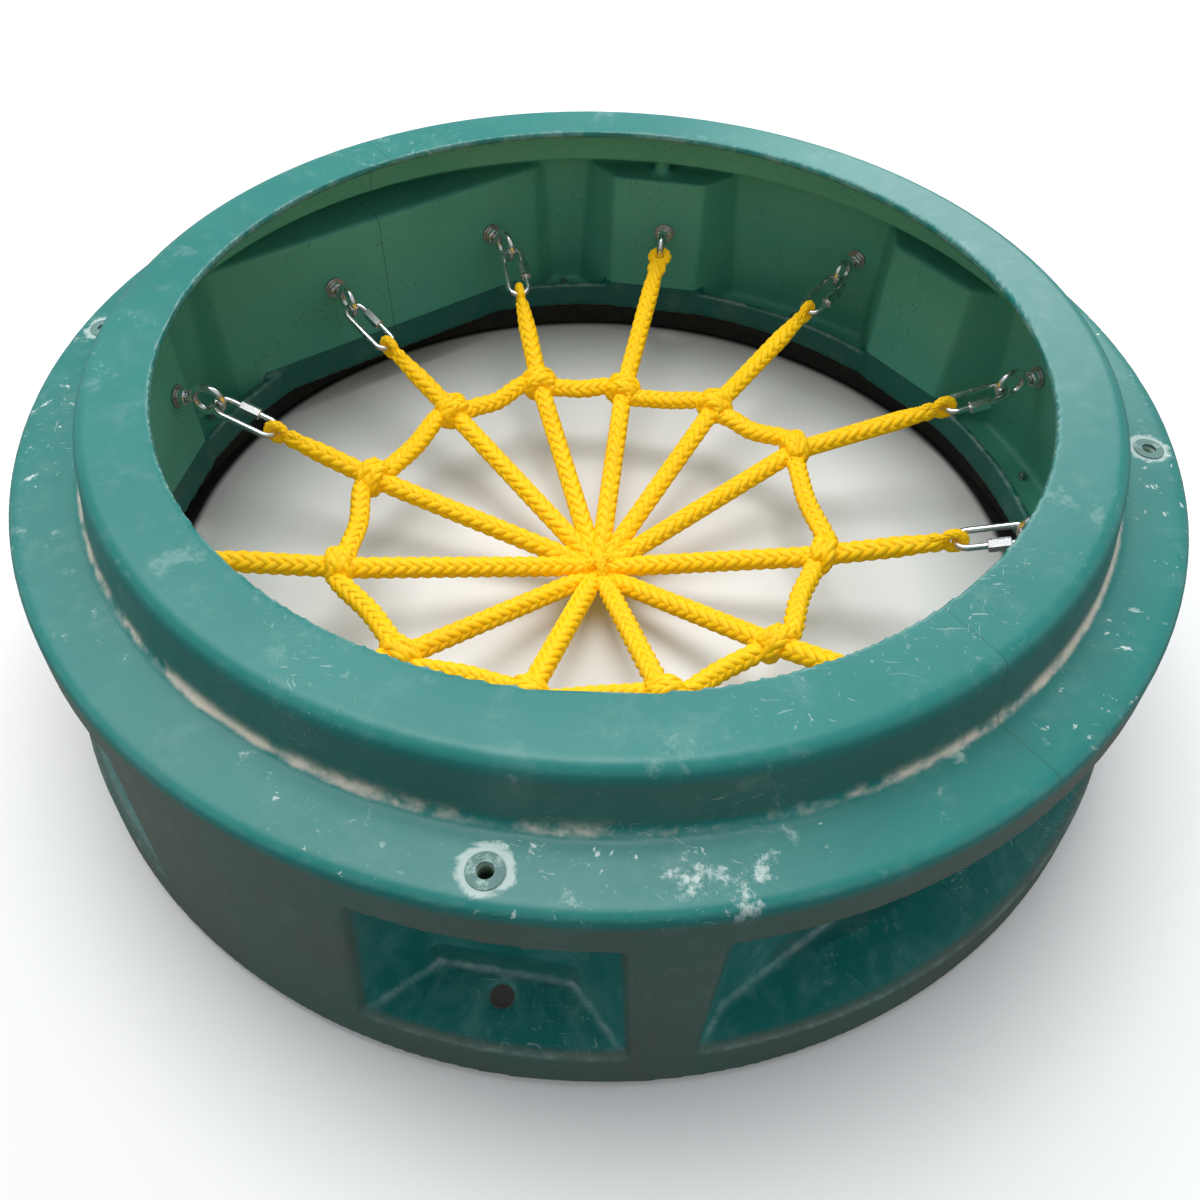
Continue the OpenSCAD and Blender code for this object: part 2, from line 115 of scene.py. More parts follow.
def middlePoint(k):
    p = knotPoint(k)
    far = math.hypot(p.x, p.y + place["middleShift"])
    rise = (ringZ - middleZ) / (far - place["middleR"])
    return Vector((0, -place["middleShift"], middleZ - rise * place["middleR"]))


# matrix at the point where spoke k pulls on its eye, +X towards its knot
def spokeMatrix(k):
    d = knotPoint(k) - eyePoint(k)
    yaw = math.atan2(d.y, d.x)
    pitch = -math.atan2(d.z, math.hypot(d.x, d.y))
    return (Matrix.Translation(eyePoint(k)) @ Matrix.Rotation(yaw, 4, "Z")
            @ Matrix.Rotation(pitch, 4, "Y"))


# lengths come in millimetres and leave in metres
def newObject(name, verts, quads, uvs=None, smooth=True):
    mesh = bpy.data.meshes.new(name)
    verts = np.asarray(verts, dtype=np.float32) * millimetre
    quads = np.asarray(quads, dtype=np.int32)
    mesh.vertices.add(len(verts))
    mesh.vertices.foreach_set("co", verts.ravel())
    mesh.loops.add(quads.size)
    mesh.loops.foreach_set("vertex_index", quads.ravel())
    mesh.polygons.add(len(quads))
    mesh.polygons.foreach_set("loop_start", np.arange(0, quads.size, 4, dtype=np.int32))
    mesh.update(calc_edges=True)
    mesh.polygons.foreach_set("use_smooth", np.full(len(quads), smooth))
    if uvs is not None:
        layer = mesh.uv_layers.new(name="strandUV")
        layer.data.foreach_set("uv", np.asarray(uvs, dtype=np.float32).ravel())
    mesh.update()
    obj = bpy.data.objects.new(name, mesh)
    bpy.context.scene.collection.objects.link(obj)
    return obj


class Parts:
    # gathers quad grids so that one object can hold many shapes

    def __init__(self):
        self.verts, self.quads, self.uvs, self.count = [], [], [], 0

    # rings is an array of closed rings, (steps, around, 3), in millimetres
    def grid(self, rings, along=None):
        n, m = rings.shape[:2]
        index = np.arange(n * m).reshape(n, m)
        a, b = index[:-1], index[1:]
        quads = np.stack([a, b, np.roll(b, -1, 1), np.roll(a, -1, 1)], -1).reshape(-1, 4)
        if along is None:
            along = np.arange(n) * 0.01
        u = np.repeat(along[:, None], m, 1)
        v = np.repeat((np.arange(m) / m)[None], n, 0)
        ends = v + 1.0 / m
        uv = np.stack([
            np.stack([u[:-1], v[:-1]], -1), np.stack([u[1:], v[1:]], -1),
            np.stack([u[1:], ends[1:]], -1), np.stack([u[:-1], ends[:-1]], -1)], 2)
        self.verts.append(rings.reshape(-1, 3))
        self.quads.append(quads + self.count)
        self.uvs.append(uv.reshape(-1, 2))
        self.count += n * m

    def build(self, name, smooth=True):
        return newObject(name, np.concatenate(self.verts), np.concatenate(self.quads),
                         np.concatenate(self.uvs), smooth)


def applied(matrix, points):
    m = np.array(matrix)
    return points @ m[:3, :3].T + m[:3, 3]


# a solid of revolution about local X, from (x, r) pairs
def turned(parts, matrix, outline, around=24, sides=None):
    a = np.linspace(0, 2 * math.pi, around, endpoint=False)
    rings = np.zeros((len(outline), around, 3))
    for i, (x, r) in enumerate(outline):
        reach = r if sides is None else sides(a, x, r)
        rings[i, :, 0] = x
        rings[i, :, 1] = reach * np.cos(a)
        rings[i, :, 2] = reach * np.sin(a)
    parts.grid(applied(matrix, rings))


# hexagon nut about local X from x0, with chamfered corners
def hexNut(parts, matrix, x0, length, flats, bore, chamfer=1.6):
    corner = flats / math.sqrt(3)

    def sides(a, x, r):
        sector = (a + math.pi / 6) % (math.pi / 3) - math.pi / 6
        return np.minimum(flats / 2 / np.cos(sector), r)

    x1 = x0 + length
    face = flats / 2 - 0.6
    outline = [(x0, bore / 2), (x0, face), (x0 + chamfer * 0.55, corner), (x0 + chamfer * 0.7, corner),
               (x1 - chamfer * 0.7, corner), (x1 - chamfer * 0.55, corner), (x1, face),
               (x1, bore / 2), (x0, bore / 2)]
    turned(parts, matrix, outline, 48, sides)


# even steps along a path, each with a frame that doesn't twist
def pathFrames(points, step):
    points = np.asarray(points, dtype=float)
    seg = np.linalg.norm(np.diff(points, axis=0), axis=1)
    s = np.concatenate([[0], np.cumsum(seg)])
    n = max(6, int(s[-1] / step) + 1)
    t = np.linspace(0, s[-1], n)
    p = np.stack([np.interp(t, s, points[:, i]) for i in range(3)], 1)
    tangent = np.gradient(p, axis=0)
    tangent /= np.linalg.norm(tangent, axis=1)[:, None]
    up = np.array([0.0, 0.0, 1.0])
    if abs(tangent[0] @ up) > 0.9:
        up = np.array([1.0, 0.0, 0.0])
    normal = np.zeros_like(p)
    normal[0] = up - (up @ tangent[0]) * tangent[0]
    normal[0] /= np.linalg.norm(normal[0])
    for i in range(1, n):
        v = normal[i - 1] - (normal[i - 1] @ tangent[i]) * tangent[i]
        normal[i] = v / np.linalg.norm(v)
    return p, tangent, normal, np.cross(tangent, normal), t


# smooth curve through a few points
def smoothPath(points, count=60):
    points = [Vector(p) for p in points]
    pts = [points[0] * 2 - points[1]] + points + [points[-1] * 2 - points[-2]]
    out = []
    per = max(4, count // (len(points) - 1))
    for i in range(1, len(pts) - 2):
        a, b, c, d = pts[i - 1], pts[i], pts[i + 1], pts[i + 2]
        for j in range(per):
            t = j / per
            out.append(0.5 * ((2 * b) + (c - a) * t + (2 * a - 5 * b + 4 * c - d) * t * t
                              + (3 * b - a - 3 * c + d) * t ** 3))
    out.append(pts[-2])
    return np.array([tuple(p) for p in out])


rope = dict(
    strands=6, pitch=88.0, step=3.0, around=8,
    depth=0.12, width=0.335, thick=0.26, textureLength=40.0,
)


# a plaited rope along a path; radius is a number or a function of the distance along it
def braid(parts, points, radius, phase=0.0, keep=None, pitch=None):
    p, tangent, normal, side, s = pathFrames(points, rope["step"])
    rad = np.array([radius(v) for v in s]) if callable(radius) else np.full(len(s), float(radius))
    pitch = pitch or rope["pitch"]
    turn = 2 * math.pi * s / pitch + phase
    corner = np.linspace(0, 2 * math.pi, rope["around"], endpoint=False)
    ca, sa = np.cos(corner), np.sin(corner)
    ca = np.sign(ca) * np.abs(ca) ** 0.75
    sa = np.sign(sa) * np.abs(sa) ** 0.85
    chosen = np.ones(len(s), bool) if keep is None else keep(p, s)
    first, last = np.flatnonzero(chosen)[[0, -1]] if chosen.any() else (0, -1)
    for way in (1, -1):
        for k in range(rope["strands"]):
            theta = way * turn + 2 * math.pi * (k + 0.25 * way) / rope["strands"]
            lift = way * np.cos(3 * theta + phase)
            r = rad * (1 - rope["thick"] - rope["depth"] * (1 - lift))
            out = np.cos(theta)[:, None] * normal + np.sin(theta)[:, None] * side
            centre = p + r[:, None] * out
            run = np.gradient(centre, axis=0)
            run /= np.linalg.norm(run, axis=1)[:, None]
            across = np.cross(run, out)
            across /= np.linalg.norm(across, axis=1)[:, None]
            outward = np.cross(across, run)
            w = rad * rope["width"]
            h = rad * rope["thick"]
            rings = (centre[:, None] + across[:, None] * (w[:, None] * ca)[..., None]
                     + outward[:, None] * (h[:, None] * sa)[..., None])
            along = s / rope["textureLength"] + k * 3.7 + way * 11.3
            # true ends are closed, a cut is left open
            if first == 0:
                rings = np.concatenate([rings[:1].mean(1, keepdims=True).repeat(len(corner), 1), rings])
                along = np.concatenate([along[:1], along])
            if last == len(s) - 1:
                rings = np.concatenate([rings, rings[-1:].mean(1, keepdims=True).repeat(len(corner), 1)])
                along = np.concatenate([along, along[-1:]])
            start = first
            stop = last + 1 + (first == 0) + (last == len(s) - 1)
            parts.grid(rings[start:stop], along[start:stop])


print("stage: helpers ready")

# the camera looks down into the drum from the front
view = dict(distance=892.8, height=622.2, yaw=0.004, pitch=0.863, roll=0.036, lens=30.68)
forward = Vector((math.sin(view["yaw"]) * math.cos(view["pitch"]),
                  math.cos(view["yaw"]) * math.cos(view["pitch"]), -math.sin(view["pitch"])))
right = Vector((math.cos(view["yaw"]), -math.sin(view["yaw"]), 0))
up = right.cross(forward)
rolledRight = right * math.cos(view["roll"]) + up * math.sin(view["roll"])
rolledUp = up * math.cos(view["roll"]) - right * math.sin(view["roll"])
cameraData = bpy.data.cameras.new("camera")
cameraData.lens = view["lens"]
cameraData.sensor_width = 36
camera = bpy.data.objects.new("camera", cameraData)
basis = Matrix((rolledRight, rolledUp, -forward)).transposed().to_4x4()
stand = Vector((0, -view["distance"], rimZ + view["height"])) * millimetre
camera.matrix_world = Matrix.Translation(stand) @ basis
bpy.context.scene.collection.objects.link(camera)
bpy.context.scene.camera = camera

light = dict(sky=0.62, key=46.0, back=40.0, top=42.0, sheen=0.35)


def areaLight(name, at, target, size, power, colour=(1, 1, 1)):
    data = bpy.data.lights.new(name, "AREA")
    data.shape = "DISK"
    data.size = size
    data.energy = power
    data.color = colour
    data.specular_factor = light["sheen"]
    lamp = bpy.data.objects.new(name, data)
    lamp.location = at
    lamp.rotation_euler = (Vector(target) - Vector(at)).to_track_quat("-Z", "Y").to_euler()
    bpy.context.scene.collection.objects.link(lamp)
    return lamp


areaLight("keyLight", (-1.6, 1.0, 3.2), (0, 0, 0.2), 2.4, light["key"], (1.0, 0.99, 0.97))
areaLight("backLight", (1.2, 2.6, 2.2), (0, 0, 0.3), 2.0, light["back"], (0.97, 0.99, 1.0))
areaLight("topLight", (0, 0.25, 3.0), (0, 0, 0), 1.6, light["top"], (1.0, 1.0, 1.0))
world = bpy.data.worlds.new("studio")
bpy.context.scene.world = world
world.use_nodes = True
world.node_tree.nodes["Background"].inputs["Color"].default_value = (0.93, 0.96, 1.0, 1)
world.node_tree.nodes["Background"].inputs["Strength"].default_value = light["sky"]
bpy.context.scene.view_settings.view_transform = "Standard"


class Nodes:
    # short way to add and wire shader nodes

    def __init__(self, tree):
        self.tree = tree

    def add(self, kind, values=None, **settings):
        node = self.tree.nodes.new(kind)
        for key, value in settings.items():
            setattr(node, key, value)
        for key, value in (values or {}).items():
            if isinstance(value, bpy.types.NodeSocket):
                self.tree.links.new(value, node.inputs[key])
            else:
                node.inputs[key].default_value = value
        return node

    def math(self, operation, a, b=0.0, c=None, clamp=False):
        values = {0: a, 1: b}
        if c is not None:
            values[2] = c
        return self.add("ShaderNodeMath", values, operation=operation, use_clamp=clamp).outputs[0]

    def mix(self, factor, a, b):
        return self.add("ShaderNodeMix", {0: factor, 6: a, 7: b}, data_type="RGBA").outputs[2]

    def ramp(self, value, low, high):
        return self.add("ShaderNodeMapRange", {0: value, 1: low, 2: high, 3: 0.0, 4: 1.0},
                        interpolation_type="SMOOTHSTEP").outputs[0]

    def noise(self, vector, scale, detail=4.0, rough=0.55):
        values = {"Vector": vector, "Scale": scale, "Detail": detail, "Roughness": rough}
        return self.add("ShaderNodeTexNoise", values).outputs["Fac"]

    def stretch(self, vector, scale, turn=(0, 0, 0)):
        values = {"Vector": vector, "Rotation": turn, "Scale": scale}
        return self.add("ShaderNodeMapping", values).outputs[0]

    def product(self, a, b, clamp=False):
        return self.math("MULTIPLY", a, b, clamp=clamp)

    def length(self, x, y):
        return self.math("SQRT", self.math("ADD", self.product(x, x), self.product(y, y)))


def newGroup(name, inputs):
    tree = bpy.data.node_groups.new(name, "ShaderNodeTree")
    kinds = {"color": "NodeSocketColor", "float": "NodeSocketFloat", "vector": "NodeSocketVector"}
    for label, kind, default in inputs:
        socket = tree.interface.new_socket(label, in_out="INPUT", socket_type=kinds[kind])
        if default is not None:
            socket.default_value = default
    for label, kind in (("Color", "color"), ("Roughness", "float"), ("Height", "float")):
        tree.interface.new_socket(label, in_out="OUTPUT", socket_type=kinds[kind])
    n = Nodes(tree)
    return n, n.add("NodeGroupInput").outputs, n.add("NodeGroupOutput").inputs, tree


# a material from one of the groups below, with any further settings of its shader
def surface(name, group, inputs, bump=0.3, distance=0.001, more=None):
    mat = bpy.data.materials.new(name)
    mat.use_nodes = True
    tree = mat.node_tree
    n = Nodes(tree)
    shader = tree.nodes["Principled BSDF"]
    look = n.add("ShaderNodeGroup", node_tree=group)
    for key, value in inputs.items():
        look.inputs[key].default_value = value
    tree.links.new(look.outputs["Color"], shader.inputs["Base Color"])
    tree.links.new(look.outputs["Roughness"], shader.inputs["Roughness"])
    relief = n.add("ShaderNodeBump", {
        "Strength": bump, "Distance": distance, "Height": look.outputs["Height"]})
    tree.links.new(relief.outputs[0], shader.inputs["Normal"])
    for key, value in (more or {}).items():
        shader.inputs[key].default_value = value
    return mat


# moulded plastic gone chalky: tone drift, scratches, white scuffs, dirt, and painted shade in the tubes and
# on the lower walls
n, given, result, plasticGroup = newGroup("wornPlastic", [
    ("Base", "color", (0.03, 0.3, 0.25, 1)), ("Chalk", "color", (0.55, 0.62, 0.58, 1)),
    ("DirtAndShade", "color", (0.36, 0.32, 0.24, 1)), ("Gloss", "float", 0.42), ("Scuffs", "float", 1.0),
    ("Speckle", "float", 0.0), ("Film", "float", 0.0), ("Edge Wear", "float", 1.0),
    ("Shelf Height", "float", shelfZ * millimetre), ("Step Radius", "float", place["stepR"] * millimetre),
    ("Wall Radius", "float", 0.589), ("Tube Radius", "float", place["tubeR"] * millimetre)])
co = n.add("ShaderNodeTexCoord").outputs["Object"]
xyz = n.add("ShaderNodeSeparateXYZ", {0: co}).outputs
warp = n.add("ShaderNodeTexNoise", {"Vector": co, "Scale": 9.0, "Detail": 4.0}).outputs["Color"]
bent = n.add("ShaderNodeVectorMath", {0: warp, 1: (0.09, 0.09, 0.09)}, operation="MULTIPLY").outputs[0]
bent = n.add("ShaderNodeVectorMath", {0: co, 1: bent}, operation="ADD").outputs[0]
radius = n.length(xyz[0], xyz[1])
drift = n.ramp(n.noise(co, 3.2, 3.0), 0.32, 0.7)
lighter = n.add("ShaderNodeHueSaturation", {"Saturation": 0.92, "Value": 1.35, "Color": given["Base"]})
tone = n.mix(n.product(drift, 0.5), given["Base"], lighter.outputs[0])
cloudy = n.ramp(n.noise(co, 24.0, 6.0, 0.7), 0.5, 0.72)
tone = n.mix(n.product(cloudy, 0.07), tone, given["Chalk"])
# on the shelf the chalk gathers into patches and spots
level = n.math("ABSOLUTE", n.math("SUBTRACT", xyz[2], given["Shelf Height"]))
onShelf = n.math("SUBTRACT", 1.0, n.ramp(level, 0.004, 0.02), clamp=True)
beyondStep = n.ramp(radius, 0.53, 0.54)
shelfArea = n.product(onShelf, beyondStep)
patches = n.ramp(n.noise(n.stretch(co, (1, 1, 0.6)), 13.0, 7.0, 0.72), 0.58, 0.66)
where = n.ramp(n.noise(co, 4.6, 2.0), 0.43, 0.58)
spots = n.ramp(n.noise(bent, 80.0, 5.0, 0.62), 0.635, 0.685)
spotWhere = n.ramp(n.noise(co, 6.0, 3.0), 0.44, 0.56)
chalkMask = n.math("MAXIMUM", n.product(patches, where), n.product(spots, spotWhere))
elsewhere = n.product(n.math("SUBTRACT", 1.0, shelfArea), 0.16)
chalkMask = n.product(chalkMask, n.math("ADD", shelfArea, elsewhere), clamp=True)
chalkMask = n.product(chalkMask, given["Scuffs"], clamp=True)
tone = n.mix(chalkMask, tone, given["Chalk"])
# fine scratches in two directions
scratchA = n.ramp(n.noise(n.stretch(bent, (5, 110, 90), (0.5, 0.2, 0.7)), 3.0, 2.0), 0.66, 0.72)
scratchB = n.ramp(n.noise(n.stretch(bent, (90, 6, 120), (-0.3, 0.6, -0.5)), 3.0, 2.0), 0.67, 0.73)
scratchWhere = n.ramp(n.noise(co, 5.7, 3.0), 0.48, 0.62)
scratches = n.product(n.math("MAXIMUM", scratchA, scratchB), scratchWhere)
tone = n.mix(n.product(n.product(scratches, given["Scuffs"]), 0.4), tone, given["Chalk"])
# pale line of old dirt in the corner at the foot of the step
line = n.math("ABSOLUTE", n.math("SUBTRACT", radius, given["Step Radius"]))
wobble = n.product(n.noise(co, 30.0, 5.0, 0.7), 0.010)
line = n.ramp(n.math("SUBTRACT", line, wobble), 0.0, -0.0045)
lineWhere = n.ramp(n.noise(co, 8.0, 5.0, 0.7), 0.40, 0.56)
lineMask = n.product(n.product(line, onShelf), lineWhere)
tone = n.mix(n.product(lineMask, given["Scuffs"], clamp=True), tone, (0.62, 0.56, 0.46, 1))
# dark speckle in the unpolished inner face
cells = n.add("ShaderNodeTexVoronoi", {"Vector": co, "Scale": 190.0, "Randomness": 1.0})
speck = n.ramp(cells.outputs["Distance"], 0.23, 0.12)
speckWhere = n.ramp(n.noise(co, 16.0, 4.0, 0.6), 0.46, 0.62)
speckMask = n.product(n.product(speck, speckWhere), given["Speckle"], clamp=True)
tone = n.mix(speckMask, tone, (0.004, 0.04, 0.035, 1))
# grey-brown film on the outer wall and the piers between the pockets, below the shelf's edge: part mud,
# part painted shade on the wall that faces away from the light
below = n.math("SUBTRACT", 1.0, n.ramp(xyz[2], 0.294, 0.304), clamp=True)
# the wall leans outwards, so its radius is measured along it
leaning = n.product(n.math("SUBTRACT", 0.303, xyz[2]), 0.078)
wallFrom = n.math("SUBTRACT", n.math("ADD", given["Wall Radius"], leaning), radius)
film = n.product(n.ramp(wallFrom, 0.001, -0.007), below)
uneven = n.math("ADD", 0.72, n.product(n.ramp(n.noise(bent, 7.0, 5.0, 0.65), 0.35, 0.7), 0.28))
film = n.product(n.product(film, uneven), given["Film"], clamp=True)
# pockets stay greener, with a pale haze where hands and feet rub them
pocketArea = n.product(n.ramp(wallFrom, -0.008, 0.004), n.product(below, n.ramp(radius, 0.50, 0.52)))
streaks = n.stretch(bent, (26, 14, 3), (0.9, 0.3, 0.2))
haze = n.product(n.ramp(n.noise(streaks, 1.6, 6.0, 0.7), 0.42, 0.72), pocketArea)
tone = n.mix(n.product(haze, n.product(given["Film"], 0.5)), tone, (0.12, 0.33, 0.3, 1))
tone = n.mix(film, tone, given["DirtAndShade"])
# thinner film on the face of the step, part mud and part painted shade under the rim
stepFace = n.product(n.ramp(xyz[2], 0.316, 0.326), n.ramp(xyz[2], 0.371, 0.358))
stepFace = n.product(n.product(stepFace, n.ramp(radius, 0.514, 0.52)), uneven)
tone = n.mix(n.product(stepFace, n.product(given["Film"], 0.6)), tone, given["DirtAndShade"])
# fine line where the two halves of the mould met, on bearings -52 and 128 degrees
across = n.math("ABSOLUTE", n.math("ADD", n.product(xyz[0], 0.788), n.product(xyz[1], 0.616)))
parting = n.ramp(across, 0.0016, 0.0006)
tone = n.mix(n.product(parting, 0.45), tone, (0.01, 0.09, 0.075, 1))
# painted shade: the tubes under the shelf's holes are painted near-black inside
absX, absY = n.math("ABSOLUTE", xyz[0]), n.math("ABSOLUTE", xyz[1])
farXY, nearXY = n.math("MAXIMUM", absX, absY), n.math("MINIMUM", absX, absY)
offX = n.math("SUBTRACT", farXY, n.product(given["Tube Radius"], 0.99144))
offY = n.math("SUBTRACT", nearXY, n.product(given["Tube Radius"], 0.13053))
offTube = n.length(offX, offY)
# four tubes stand a quarter turn apart, their mirror images don't count
turnWay = n.product(n.product(xyz[0], xyz[1]), n.math("SUBTRACT", absY, absX))
offTube = n.math("ADD", offTube, n.math("LESS_THAN", turnWay, 0.0))
tubeShade = n.product(n.ramp(offTube, 0.0085, 0.0072), n.ramp(xyz[2], 0.309, 0.304))
tone = n.mix(n.product(tubeShade, 0.93), tone, (0.004, 0.006, 0.006, 1))
# pale scuffing round each shelf hole
hole = n.math("SUBTRACT", offTube, n.product(n.noise(bent, 60.0, 5.0, 0.7), 0.024))
ringMask = n.product(n.ramp(hole, 0.0115, 0.006), onShelf)
tone = n.mix(n.product(ringMask, 0.7), tone, given["Chalk"])
# worn outer corners and pale scuffing in the inner ones
edge = n.add("ShaderNodeNewGeometry").outputs["Pointiness"]
broken = n.ramp(n.noise(bent, 40.0, 5.0, 0.7), 0.38, 0.62)
outerEdge = n.product(n.ramp(edge, 0.515, 0.56), broken)
innerEdge = n.product(n.ramp(edge, 0.487, 0.455), broken)
edges = n.math("ADD", n.product(outerEdge, 0.3), n.product(innerEdge, 0.42))
tone = n.mix(n.product(edges, given["Edge Wear"], clamp=True), tone, given["Chalk"])
grime = n.ramp(n.noise(co, 7.0, 6.0, 0.65), 0.5, 0.78)
tone = n.mix(n.product(grime, 0.12), tone, given["DirtAndShade"])
rough = n.math("ADD", given["Gloss"], n.product(n.noise(co, 60.0, 4.0), 0.12))
rough = n.math("ADD", rough, n.product(n.math("MAXIMUM", chalkMask, scratches), 0.25), clamp=True)
coarse = n.product(n.noise(co, 55.0, 5.0, 0.6), 0.5)
height = n.math("ADD", coarse, n.product(n.noise(co, 420.0, 3.0), 0.16))
height = n.math("ADD", height, n.product(chalkMask, 0.35))
height = n.math("SUBTRACT", height, n.product(scratches, 0.4))
n.tree.links.new(tone, result["Color"])
n.tree.links.new(rough, result["Roughness"])
n.tree.links.new(height, result["Height"])

# plaited rope: fibres along each strand, with painted shade: a darker orange laid in streaks and patches
n, given, result, ropeGroup = newGroup("ropeFibre", [
    ("Base", "color", (1.0, 0.6, 0.0, 1)), ("RopeShade", "color", (0.8, 0.3, 0.0, 1)), ("Gloss", "float", 0.42)])
uv = n.add("ShaderNodeUVMap", uv_map="strandUV").outputs[0]
co = n.add("ShaderNodeTexCoord").outputs["Object"]
fibre = n.noise(n.stretch(uv, (1.6, 30, 1)), 4.0, 3.0, 0.6)
bundle = n.noise(n.stretch(uv, (0.9, 9, 1)), 3.0, 2.0)
broad = n.noise(co, 9.0, 3.0)
tone = n.mix(n.ramp(fibre, 0.5, 0.28), given["Base"], given["RopeShade"])
tone = n.mix(n.product(n.ramp(bundle, 0.5, 0.72), 0.35), tone, (1.0, 0.78, 0.1, 1))
tone = n.mix(n.product(n.ramp(broad, 0.52, 0.75), 0.22), tone, given["RopeShade"])
n.tree.links.new(tone, result["Color"])
n.tree.links.new(n.math("ADD", given["Gloss"], n.product(fibre, 0.2)), result["Roughness"])
n.tree.links.new(n.math("ADD", fibre, n.product(bundle, 0.8)), result["Height"])

# steel: drawn marks, water stains and a little rust
n, given, result, metalGroup = newGroup("wornMetal", [
    ("Base", "color", (0.62, 0.62, 0.64, 1)), ("Stain", "color", (0.2, 0.15, 0.1, 1)),
    ("Gloss", "float", 0.22), ("Age", "float", 0.3)])
co = n.add("ShaderNodeTexCoord").outputs["Object"]
blotch = n.ramp(n.noise(co, 60.0, 5.0, 0.7), 0.5, 0.75)
fine = n.noise(co, 900.0, 3.0)
tone = n.mix(n.product(blotch, given["Age"], clamp=True), given["Base"], given["Stain"])
n.tree.links.new(tone, result["Color"])
rough = n.math("ADD", given["Gloss"], n.product(blotch, 0.25))
n.tree.links.new(n.math("ADD", rough, n.product(fine, 0.1), clamp=True), result["Roughness"])
n.tree.links.new(n.math("ADD", n.product(fine, 0.4), blotch), result["Height"])

# rubber and small dark plastic parts
n, given, result, rubberGroup = newGroup("dustyRubber", [
    ("Base", "color", (0.02, 0.02, 0.021, 1)), ("Dust", "color", (0.2, 0.19, 0.17, 1)),
    ("Gloss", "float", 0.6)])
co = n.add("ShaderNodeTexCoord").outputs["Object"]
dust = n.ramp(n.noise(co, 45.0, 6.0, 0.7), 0.45, 0.8)
n.tree.links.new(n.mix(n.product(dust, 0.45), given["Base"], given["Dust"]), result["Color"])
n.tree.links.new(n.math("ADD", given["Gloss"], n.product(dust, 0.25), clamp=True), result["Roughness"])
n.tree.links.new(n.noise(co, 500.0, 4.0), result["Height"])

drumLook = dict(outer=(0.004, 0.155, 0.138, 1), inner=(0.075, 0.37, 0.27, 1), band=(0.006, 0.125, 0.11, 1),
                mudAndShade=(0.085, 0.09, 0.068, 1), chalk=(0.5, 0.6, 0.57, 1))
plasticOuter = surface("plasticOuter", plasticGroup, {
    "Base": drumLook["outer"], "Chalk": drumLook["chalk"], "DirtAndShade": drumLook["mudAndShade"],
    "Gloss": 0.3, "Scuffs": 1.0, "Film": 0.8}, bump=0.2, distance=0.0012, more={"Specular IOR Level": 0.38})
plasticBand = surface("plasticBand", plasticGroup, {
    "Base": drumLook["band"], "Gloss": 0.28, "Scuffs": 0.3, "Speckle": 0.3}, bump=0.15, distance=0.001)
plasticInner = surface("plasticInner", plasticGroup, {
    "Base": drumLook["inner"], "Gloss": 0.48, "Scuffs": 0.2, "Speckle": 0.9, "Chalk": (0.3, 0.45, 0.3, 1)},
    bump=0.3, distance=0.0012)
# painted light: emission makes the rope glow
ropeYellowGlow = surface("ropeYellowGlow", ropeGroup, {}, bump=0.7, distance=0.0006, more={
    "Subsurface Weight": 0.1, "Subsurface Scale": 0.006,
    "Specular IOR Level": 0.3, "Emission Strength": 0.16})
# painted light: the rope glows faintly in its own colour, though it gives no light
tree = ropeYellowGlow.node_tree
fibreLook = next(node for node in tree.nodes if node.type == "GROUP")
tree.links.new(fibreLook.outputs["Color"], tree.nodes["Principled BSDF"].inputs["Emission Color"])
steelBright = surface("steelBright", metalGroup, {"Base": (0.78, 0.78, 0.79, 1), "Age": 0.2, "Gloss": 0.2},
                      bump=0.05, more={"Metallic": 1.0})
steelDull = surface("steelDull", metalGroup, {"Base": (0.5, 0.49, 0.47, 1), "Age": 0.5, "Gloss": 0.34},
                    bump=0.12, more={"Metallic": 1.0})
# the races' near-black paint is partly painted shade, standing in for the dark strip under the drum's band
steelDarkAndShade = surface("steelDarkAndShade", metalGroup, {"Base": (0.05, 0.055, 0.06, 1), "Age": 0.4, "Gloss": 0.45},
                    bump=0.1, more={"Metallic": 0.6})
rubberBlack = surface("rubberBlack", rubberGroup, {}, bump=0.2)
brassCage = surface("brassCage", rubberGroup, {"Base": (0.35, 0.22, 0.07, 1)}, bump=0.1)

shelfRing = surface("shelfRing", metalGroup, {
    "Base": (0.1, 0.2, 0.185, 1), "Stain": (0.45, 0.62, 0.57, 1), "Age": 1.0, "Gloss": 0.6},
    bump=0.5, distance=0.002)

# nodes that keep their own mesh
nodeMaterial = {
    "steel_washers": steelDull, "rubber_washers": rubberBlack, "shelf_washers": shelfRing,
    "upper_race": steelDarkAndShade, "lower_race": steelDarkAndShade, "race_seal": rubberBlack,
    "race_balls": steelBright, "ball_cage": brassCage, "race_bolts": steelDull,
    "race_nuts": steelDull, "race_washers": steelDull,
}
for name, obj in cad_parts.items():
    mat = nodeMaterial.get(name)
    if name.startswith("quick_link"):
        mat = steelBright
    if mat is not None:
        obj.data.materials.clear()
        obj.data.materials.append(mat)
print("stage: materials ready")

drum = dict(voxel=0.0036, smoothing=6, inflate=0.55, deflate=-0.30, probe=5.0)


